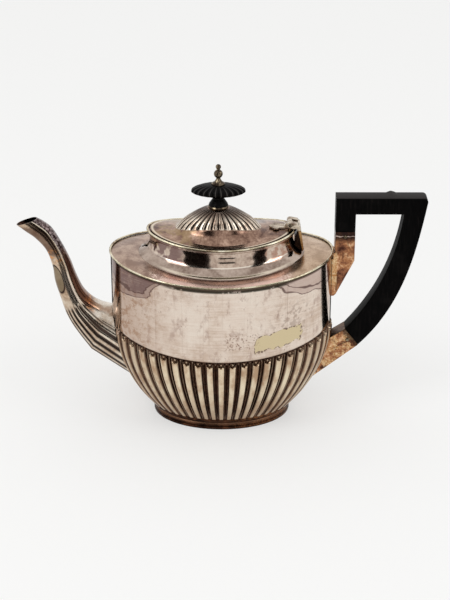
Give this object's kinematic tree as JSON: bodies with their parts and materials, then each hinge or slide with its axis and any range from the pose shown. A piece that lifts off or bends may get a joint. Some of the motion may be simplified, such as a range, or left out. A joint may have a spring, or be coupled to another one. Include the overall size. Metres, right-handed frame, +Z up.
{
  "type": "teapot",
  "caption": "Oval fluted silver teapot with a hinged domed lid, long fluted spout, dark wood finial and D-shaped handle.",
  "frame": {"origin": "centre of the part's plan outline, on the plane the foot stands on", "axes": "+X from the spout to the handle, +Y to the left of someone who looks from the spout to the handle, +Z up"},
  "size_m": [0.2748, 0.1062, 0.1808],
  "materials": {
    "silver": "tarnished polish",
    "worn_socket": "worn, patchy",
    "foot_metal": "dark tarnish",
    "ebonised_wood": "satin",
    "pin_metal": "dull"
  },
  "bodies": {
    "pot": {"foot_ring": "foot_metal", "base_plate": "silver", "body_shell": "silver", "shoulder_plate": "silver", "rim_wire": "silver", "collar": "silver", "mouth_wire": "silver", "spout_left": "silver", "spout_right": "silver", "hinge_bracket": "silver", "hinge_pin": "pin_metal", "handle_grip": "ebonised_wood", "upper_socket": "worn_socket", "lower_socket": "worn_socket", "upper_pin": "pin_metal", "lower_pin": "pin_metal"},
    "lid": {"lid_shell": "silver", "lid_bezel": "silver", "hinge_leaf": "silver", "finial_washer": "silver", "finial_button": "ebonised_wood", "finial_cap": "silver", "finial_stud": "pin_metal", "finial_nut": "pin_metal"}
  },
  "joints": [
    {"name": "lid_hinge", "type": "hinge", "parent": "pot", "child": "lid", "pos_m": [0.046, 0, 0.1395], "axis": [0, 1, 0], "range_deg": [0, 100]}
  ]
}
